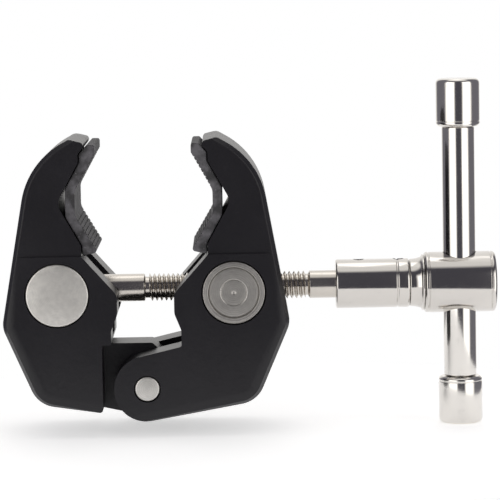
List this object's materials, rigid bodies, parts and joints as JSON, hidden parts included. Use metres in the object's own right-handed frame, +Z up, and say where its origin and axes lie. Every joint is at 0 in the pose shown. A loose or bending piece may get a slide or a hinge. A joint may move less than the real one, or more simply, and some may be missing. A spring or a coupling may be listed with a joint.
{
  "type": "super clamp",
  "caption": "Lighting-stand super clamp: hinged black jaws with V-shaped rubber grips, closed by a screw through swivelling cross barrels with a sliding T-bar handle.",
  "frame": {"origin": "bottom centre of the whole clamp with its T-bar upright, level with the lower bar cap's end", "axes": "+X runs along the screw from the fixed jaw to the handle, +Y from the front to the rear along the hinge pin and barrels, +Z up towards the jaw tips"},
  "size_m": [0.105, 0.028, 0.0742],
  "materials": {
    "jaw_paint": "satin black paint on a die casting",
    "grip_rubber": "ribbed black rubber",
    "turned_steel": "turned faces, nickel plated",
    "nickel_plate": "bright nickel plate",
    "spring_steel": "plain spring steel"
  },
  "bodies": {
    "left_jaw": {"left_jaw": "jaw_paint", "left_grip_pad": "grip_rubber"},
    "right_jaw": {"right_jaw": "jaw_paint", "right_grip_pad": "grip_rubber", "hinge_pin": "turned_steel"},
    "left_trunnion": {"left_trunnion": "turned_steel"},
    "right_trunnion": {"right_trunnion": "turned_steel"},
    "screw": {"clamp_screw": "nickel_plate", "screw_washer": "spring_steel", "screw_retaining_clip": "spring_steel", "handle_sleeve": "nickel_plate", "handle_collar": "nickel_plate", "handle_hub": "nickel_plate", "sleeve_roll_pin": "spring_steel", "hub_roll_pin": "spring_steel", "bar_detent_ball": "spring_steel", "bar_detent_spring": "spring_steel"},
    "tee_bar": {"tee_bar": "nickel_plate", "upper_bar_cap": "nickel_plate", "lower_bar_cap": "nickel_plate"}
  },
  "joints": [
    {"name": "left_trunnion_turn", "type": "hinge", "parent": "left_jaw", "child": "left_trunnion", "pos_m": [-0.04089, 0, 0.0305], "axis": [0, 1, 0], "range_deg": [-9, 10]},
    {"name": "screw_turn", "type": "hinge", "parent": "left_trunnion", "child": "screw", "pos_m": [-0.04089, 0, 0.0305], "axis": [1, 0, 0], "range_deg": [-2525, 2270]},
    {"name": "jaw_open", "type": "hinge", "parent": "left_jaw", "child": "right_jaw", "pos_m": [-0.02229, 0, 0.0104], "axis": [0, 1, 0], "range_deg": [-18, 20]},
    {"name": "right_trunnion_turn", "type": "hinge", "parent": "right_jaw", "child": "right_trunnion", "pos_m": [-0.00369, 0, 0.0305], "axis": [0, 1, 0], "range_deg": [-10, 9]},
    {"name": "bar_slide", "type": "slide", "parent": "screw", "child": "tee_bar", "axis": [0, 0, 1], "range_m": [-0.0267, 0.0135]}
  ],
  "couplings": [
    {"joint": "jaw_open", "follows": "screw_turn", "ratio": -0.0079182},
    {"joint": "left_trunnion_turn", "follows": "screw_turn", "ratio": -0.0039591},
    {"joint": "right_trunnion_turn", "follows": "screw_turn", "ratio": 0.0039591}
  ]
}
